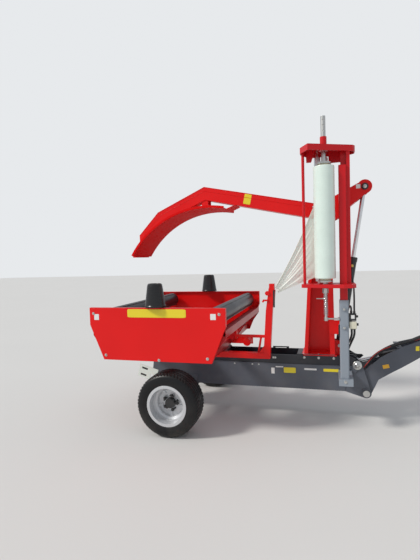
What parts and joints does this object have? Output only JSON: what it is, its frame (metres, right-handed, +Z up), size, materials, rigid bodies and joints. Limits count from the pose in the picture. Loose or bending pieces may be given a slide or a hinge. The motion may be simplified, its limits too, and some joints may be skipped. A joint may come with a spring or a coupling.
{
  "type": "trailed bale wrapper",
  "caption": "Towed wrapper for round bales: turning roller table, film mast, hinged arm with curved shoe, and a folding drawbar.",
  "frame": {"origin": "middle of the machine's length and width, on the ground", "axes": "+X forwards, towards the hitch eye; +Y to the machine's left; +Z up"},
  "size_m": [2.764, 1.472, 2.157],
  "materials": {
    "chassis_paint": "satin dark grey paint",
    "white_paint": "satin white paint",
    "frame_red": "gloss red paint in shade",
    "panel_red": "gloss red paint",
    "pin_steel": "zinc plated",
    "post_paint": "satin mid grey paint",
    "film_white": "translucent stretch film",
    "valve_metal": "black and grey valve body",
    "hose_rubber": "black hydraulic hose",
    "roller_black": "worn black paint",
    "cone_plastic": "black moulded plastic",
    "tyre_rubber": "road tyre rubber",
    "rim_silver": "silver paint",
    "hub_black": "black paint",
    "stretch_alu": "extruded aluminium",
    "barrel_black": "black paint",
    "rod_chrome": "hard chrome"
  },
  "bodies": {
    "root": {"main_beam": "chassis_paint", "axle": "chassis_paint", "slew_base": "chassis_paint", "light_plate": "white_paint", "column": "frame_red", "pivot_pins": "pin_steel", "mast_socket": "post_paint", "mast_post": "post_paint", "mast_tube": "panel_red", "film_frame": "panel_red", "film_spindle": "pin_steel", "film_sheet": "film_white", "valve_block": "valve_metal", "hoses_mast": "hose_rubber"},
    "table": {"slew_hub": "frame_red", "table_frame": "frame_red", "panel_near": "panel_red", "panel_far": "panel_red", "cutter_post": "panel_red", "cutter_clamp": "panel_red", "roller_motor": "panel_red"},
    "roller_front": {"roller_front": "roller_black"},
    "roller_rear": {"roller_rear": "roller_black"},
    "cone_near": {"cone_near": "cone_plastic"},
    "cone_far": {"cone_far": "cone_plastic"},
    "wheel_near": {"tyre_near": "tyre_rubber", "rim_near": "rim_silver", "hub_near": "hub_black"},
    "wheel_far": {"tyre_far": "tyre_rubber", "rim_far": "rim_silver", "hub_far": "hub_black"},
    "film_roll": {"film_roll": "film_white"},
    "stretch_front": {"stretch_front": "stretch_alu"},
    "stretch_rear": {"stretch_rear": "stretch_alu"},
    "arm": {"arm_boom": "panel_red", "arm_shoe": "panel_red"},
    "arm_barrel": {"arm_barrel": "barrel_black"},
    "arm_rod": {"arm_rod": "rod_chrome"},
    "drawbar": {"drawbar": "chassis_paint", "hitch_eye": "chassis_paint", "jack_tube": "chassis_paint", "hoses_draw": "hose_rubber"},
    "jack_leg": {"jack_leg": "pin_steel"},
    "draw_barrel": {"draw_barrel": "barrel_black"},
    "draw_rod": {"draw_rod": "rod_chrome"}
  },
  "joints": [
    {"name": "table_turn", "type": "hinge", "parent": "root", "child": "table", "pos_m": [-0.885, 0, 0.52], "axis": [0, 0, -1], "continuous": true},
    {"name": "roller_front_turn", "type": "hinge", "parent": "table", "child": "roller_front", "pos_m": [-0.5, 0, 0.832], "axis": [0, 1, 0], "continuous": true},
    {"name": "roller_rear_turn", "type": "hinge", "parent": "table", "child": "roller_rear", "pos_m": [-1.27, 0, 0.832], "axis": [0, 1, 0], "continuous": true},
    {"name": "cone_near_turn", "type": "hinge", "parent": "table", "child": "cone_near", "pos_m": [-0.885, -0.663, 0.968], "axis": [0, 0, 1], "continuous": true},
    {"name": "cone_far_turn", "type": "hinge", "parent": "table", "child": "cone_far", "pos_m": [-0.885, 0.663, 0.968], "axis": [0, 0, 1], "continuous": true},
    {"name": "wheel_near_turn", "type": "hinge", "parent": "root", "child": "wheel_near", "pos_m": [-0.83, -0.58, 0.225], "axis": [0, 1, 0], "continuous": true},
    {"name": "wheel_far_turn", "type": "hinge", "parent": "root", "child": "wheel_far", "pos_m": [-0.83, 0.58, 0.225], "axis": [0, 1, 0], "continuous": true},
    {"name": "film_turn", "type": "hinge", "parent": "root", "child": "film_roll", "pos_m": [0.233, -0.345, 1.45], "axis": [0, 0, 1], "continuous": true},
    {"name": "stretch_front_turn", "type": "hinge", "parent": "root", "child": "stretch_front", "pos_m": [0.19, -0.257, 1.45], "axis": [0, 0, 1], "continuous": true},
    {"name": "stretch_rear_turn", "type": "hinge", "parent": "root", "child": "stretch_rear", "pos_m": [0.239, -0.242, 1.45], "axis": [0, 0, 1], "continuous": true},
    {"name": "arm_lift", "type": "hinge", "parent": "root", "child": "arm", "pos_m": [0.25, -0.05, 1.545], "axis": [0, 1, 0], "range_deg": [0, 70]},
    {"name": "arm_barrel_swing", "type": "hinge", "parent": "root", "child": "arm_barrel", "pos_m": [0.325, -0.05, 0.56], "axis": [0, 1, 0], "range_deg": [-1, 6]},
    {"name": "arm_rod_slide", "type": "slide", "parent": "arm_barrel", "child": "arm_rod", "axis": [0.1594, 0, 0.9872], "range_m": [-0.3549, 0.003]},
    {"name": "drawbar_fold", "type": "hinge", "parent": "root", "child": "drawbar", "pos_m": [0.505, 0, 0.225], "axis": [0, 1, 0], "range_deg": [0, 38]},
    {"name": "draw_barrel_swing", "type": "hinge", "parent": "drawbar", "child": "draw_barrel", "pos_m": [0.895, 0, 0.545], "axis": [0, 1, 0], "range_deg": [-8, 2]},
    {"name": "draw_rod_slide", "type": "slide", "parent": "draw_barrel", "child": "draw_rod", "axis": [-0.9673, 0, -0.2536], "range_m": [-0.003, 0.1332]},
    {"name": "jack_slide", "type": "slide", "parent": "drawbar", "child": "jack_leg", "axis": [0, 0, 1], "range_m": [0, 0.25]}
  ],
  "couplings": [
    {"joint": "roller_rear_turn", "follows": "roller_front_turn", "ratio": 1},
    {"joint": "stretch_rear_turn", "follows": "stretch_front_turn", "ratio": -1.55},
    {"joint": "arm_barrel_swing", "follows": "arm_lift", "ratio": 0.04219},
    {"joint": "arm_rod_slide", "follows": "arm_lift", "m_per_rad": -0.28802},
    {"joint": "draw_barrel_swing", "follows": "drawbar_fold", "ratio": -0.1238},
    {"joint": "draw_rod_slide", "follows": "drawbar_fold", "m_per_rad": 0.19636}
  ]
}
